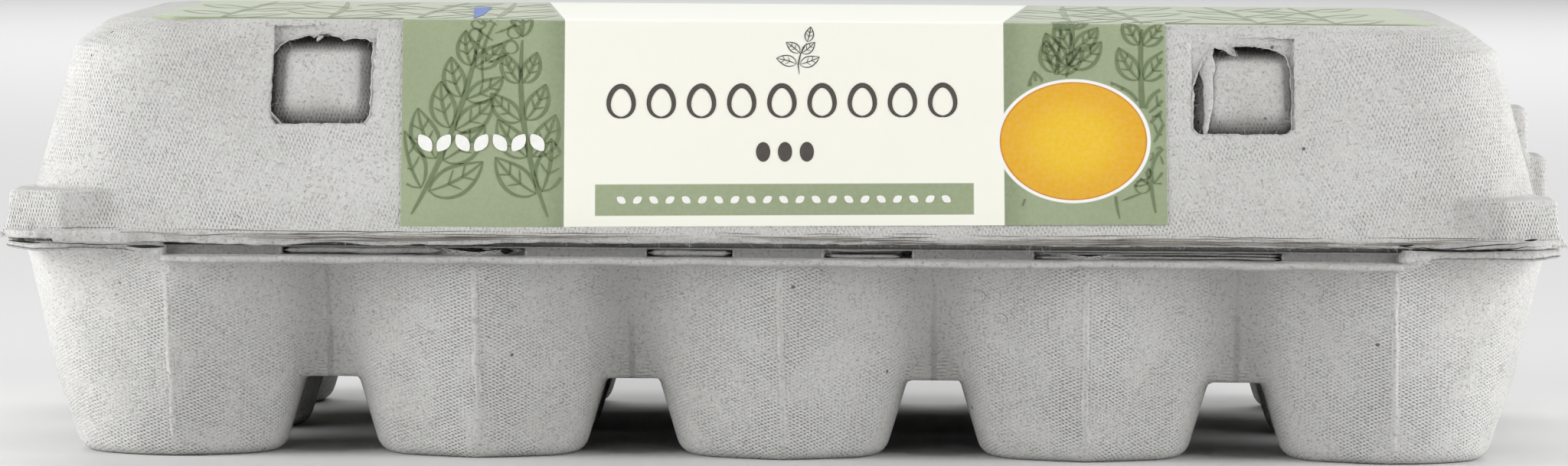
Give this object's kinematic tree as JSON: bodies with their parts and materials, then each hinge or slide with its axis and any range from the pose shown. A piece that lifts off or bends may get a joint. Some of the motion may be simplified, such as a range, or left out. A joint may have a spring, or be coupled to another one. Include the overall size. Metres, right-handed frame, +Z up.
{
  "type": "egg carton",
  "caption": "Shut moulded-pulp egg carton with tapered cups below, a bevelled lid with two lock buttons, and a printed paper label.",
  "frame": {"origin": "middle of the carton's footprint, on the surface that its cups stand on", "axes": "+Z up, +X along the carton's length, -Y towards the front with the lock buttons"},
  "size_m": [0.252, 0.154, 0.0715],
  "materials": {
    "pulp": "matt moulded pulp",
    "label": "smooth printed paper"
  },
  "bodies": {
    "root": {"tray": "pulp", "lid": "pulp", "lock_button_left": "pulp", "lock_button_right": "pulp", "hinge_fold": "pulp", "label": "label"}
  },
  "joints": []
}
